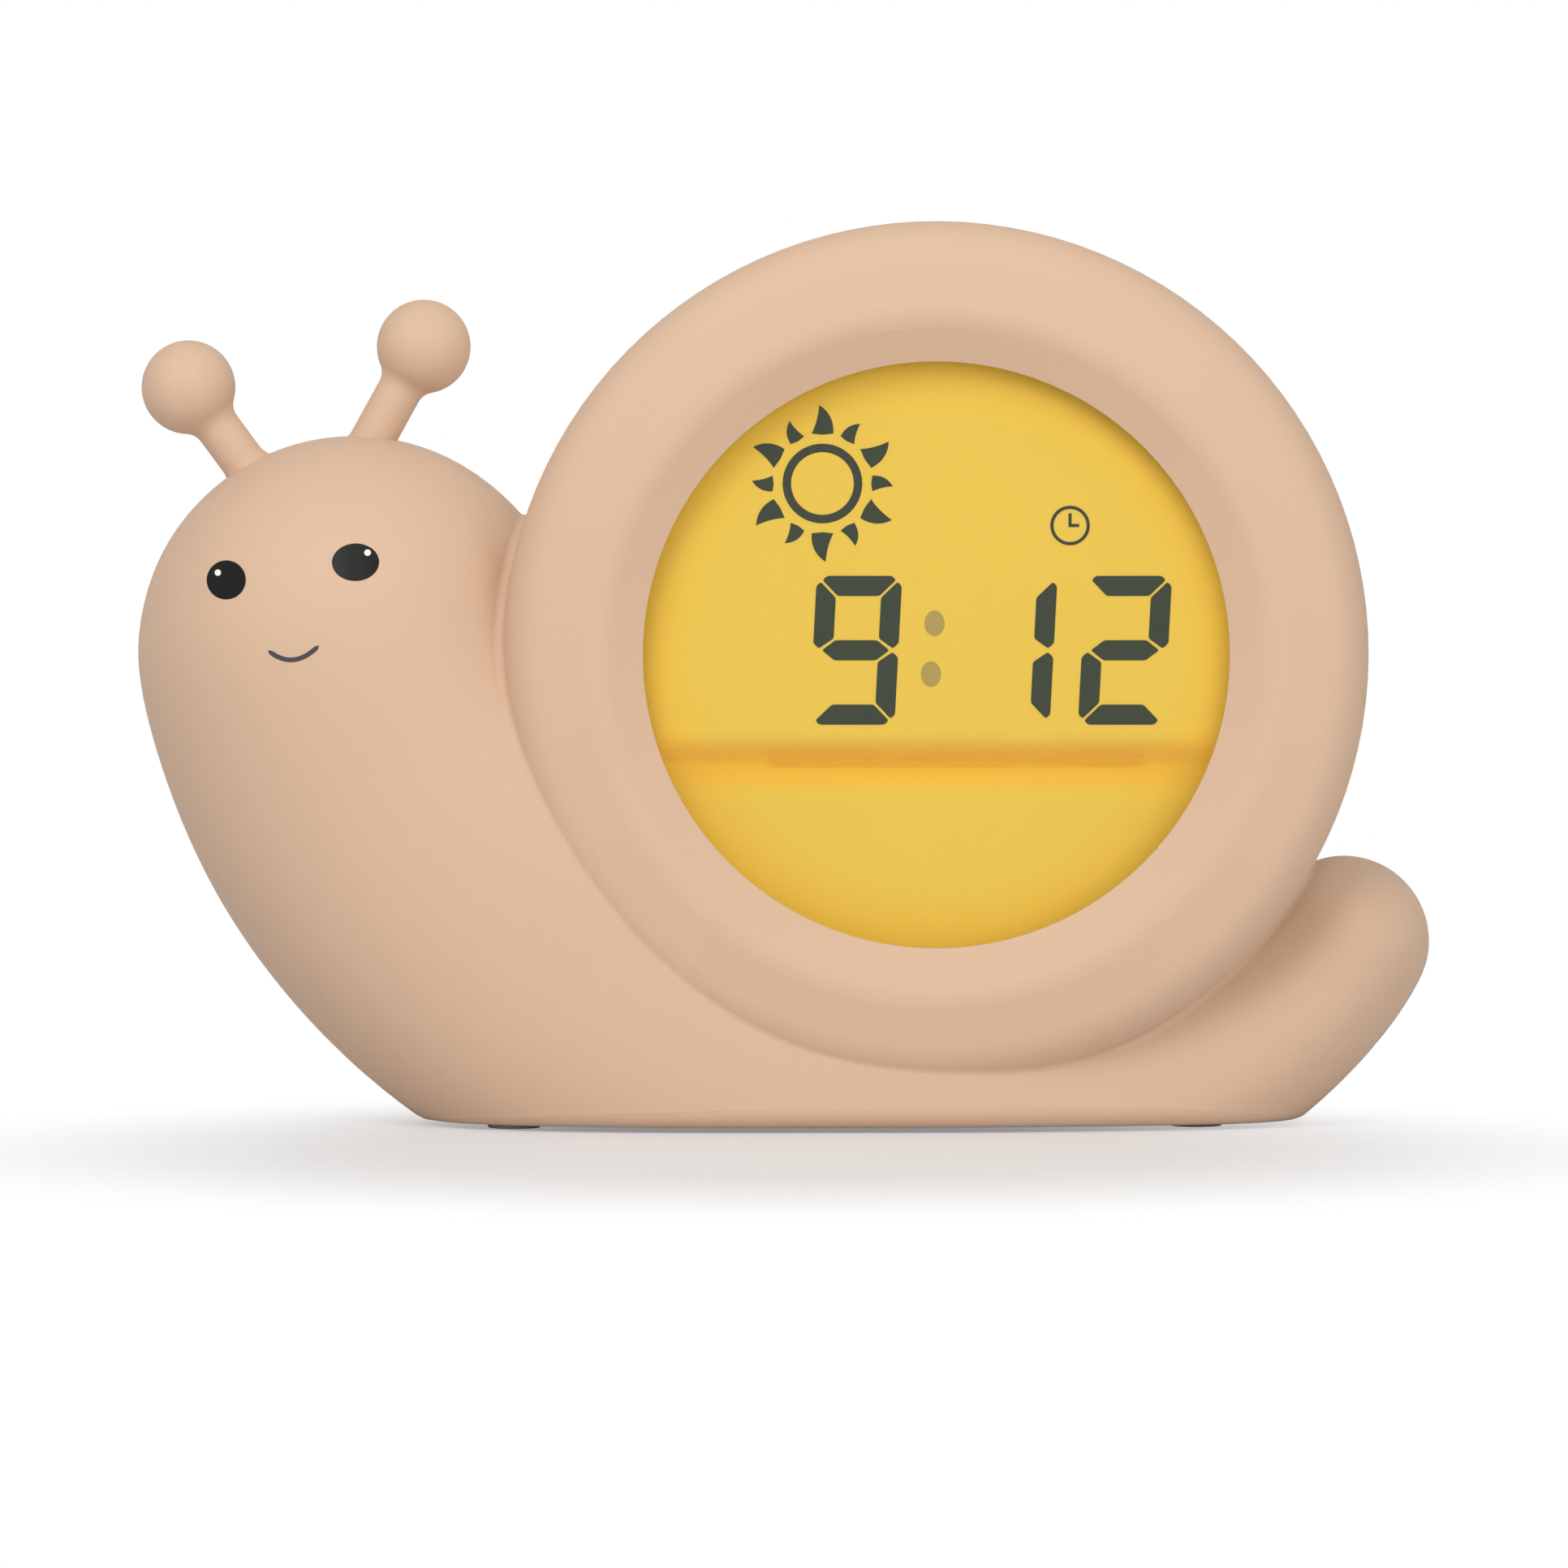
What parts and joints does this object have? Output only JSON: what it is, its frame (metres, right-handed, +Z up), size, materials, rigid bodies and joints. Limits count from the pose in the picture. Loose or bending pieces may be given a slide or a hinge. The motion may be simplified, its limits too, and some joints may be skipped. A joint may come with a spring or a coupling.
{
  "type": "snail alarm clock with night light",
  "caption": "Snail-shaped children's alarm clock with a round backlit liquid crystal display in a ring, a translucent night-light dome behind, soft antennae and rear push buttons.",
  "frame": {"origin": "middle of the footprint on the table", "axes": "+X towards the tail, +Y towards the back, +Z up; the face and display look along -Y"},
  "size_m": [0.1654, 0.0548, 0.1151],
  "materials": {
    "casing": "matte soft-touch beige pink",
    "antenna": "matte soft silicone, beige pink",
    "dome": "translucent white, satin",
    "window": "clear polished",
    "foam": "black closed-cell foam",
    "liquid_crystal": "satin polariser",
    "diffuser": "yellow-lit diffusing sheet",
    "white_plastic": "white moulded",
    "elastomer": "striped silicone",
    "circuit_board": "green solder mask",
    "led": "clear lens on white body",
    "black_plastic": "black moulded",
    "steel": "zinc plated",
    "nickel": "nickel plated spring steel",
    "button": "white satin",
    "cell_jacket": "plain printed jacket",
    "rubber": "soft grey pads",
    "wire": "insulated wire"
  },
  "bodies": {
    "clock": {"front_casing": "casing", "rear_casing": "casing", "base_plate": "casing", "left_antenna": "antenna", "right_antenna": "antenna", "night_light_dome": "dome", "display_window": "window", "window_gasket": "foam", "lcd_glass": "liquid_crystal", "display_diffuser": "diffuser", "display_holder": "white_plastic", "lcd_connector_strip": "elastomer", "main_board": "circuit_board", "night_light_board": "circuit_board", "key_board": "circuit_board", "display_leds": "led", "night_light_leds": "led", "microcontroller": "black_plastic", "clock_crystal": "steel", "wire_plugs": "white_plastic", "board_spacers": "white_plastic", "key_switches": "black_plastic", "slide_switch": "steel", "power_socket": "steel", "speaker": "black_plastic", "battery_cells": "cell_jacket", "battery_contacts": "nickel", "battery_springs": "nickel", "casing_screws": "steel", "holder_screws": "steel", "board_screws": "steel", "spacer_screws": "steel", "base_plate_screws": "steel", "key_board_screws": "steel", "rubber_feet": "rubber", "battery_wires": "wire", "speaker_wires": "wire", "key_wires": "wire", "night_light_wires": "wire"},
    "button_clock": {"button_clock": "button"},
    "button_alarm": {"button_alarm": "button"},
    "button_light": {"button_light": "button"},
    "button_minus": {"button_minus": "button"},
    "button_plus": {"button_plus": "button"},
    "slide_knob": {"slide_knob": "button"},
    "battery_door": {"battery_door": "casing", "battery_door_screw": "steel"}
  },
  "joints": [
    {"name": "button_clock_press", "type": "slide", "parent": "clock", "child": "button_clock", "axis": [0, -1, 0], "range_m": [0, 0.0005], "stiffness_N_per_m": 600},
    {"name": "button_alarm_press", "type": "slide", "parent": "clock", "child": "button_alarm", "axis": [0, -1, 0], "range_m": [0, 0.0005], "stiffness_N_per_m": 600},
    {"name": "button_light_press", "type": "slide", "parent": "clock", "child": "button_light", "axis": [0, -1, 0], "range_m": [0, 0.0005], "stiffness_N_per_m": 600},
    {"name": "button_minus_press", "type": "slide", "parent": "clock", "child": "button_minus", "axis": [0, -1, 0], "range_m": [0, 0.0005], "stiffness_N_per_m": 600},
    {"name": "button_plus_press", "type": "slide", "parent": "clock", "child": "button_plus", "axis": [0, -1, 0], "range_m": [0, 0.0005], "stiffness_N_per_m": 600},
    {"name": "slide_knob_slide", "type": "slide", "parent": "clock", "child": "slide_knob", "axis": [0.454, 0, -0.891], "range_m": [-0.0015, 0.0015]},
    {"name": "battery_door_off", "type": "slide", "parent": "clock", "child": "battery_door", "axis": [0, 0, -1], "range_m": [0, 0.025]}
  ]
}
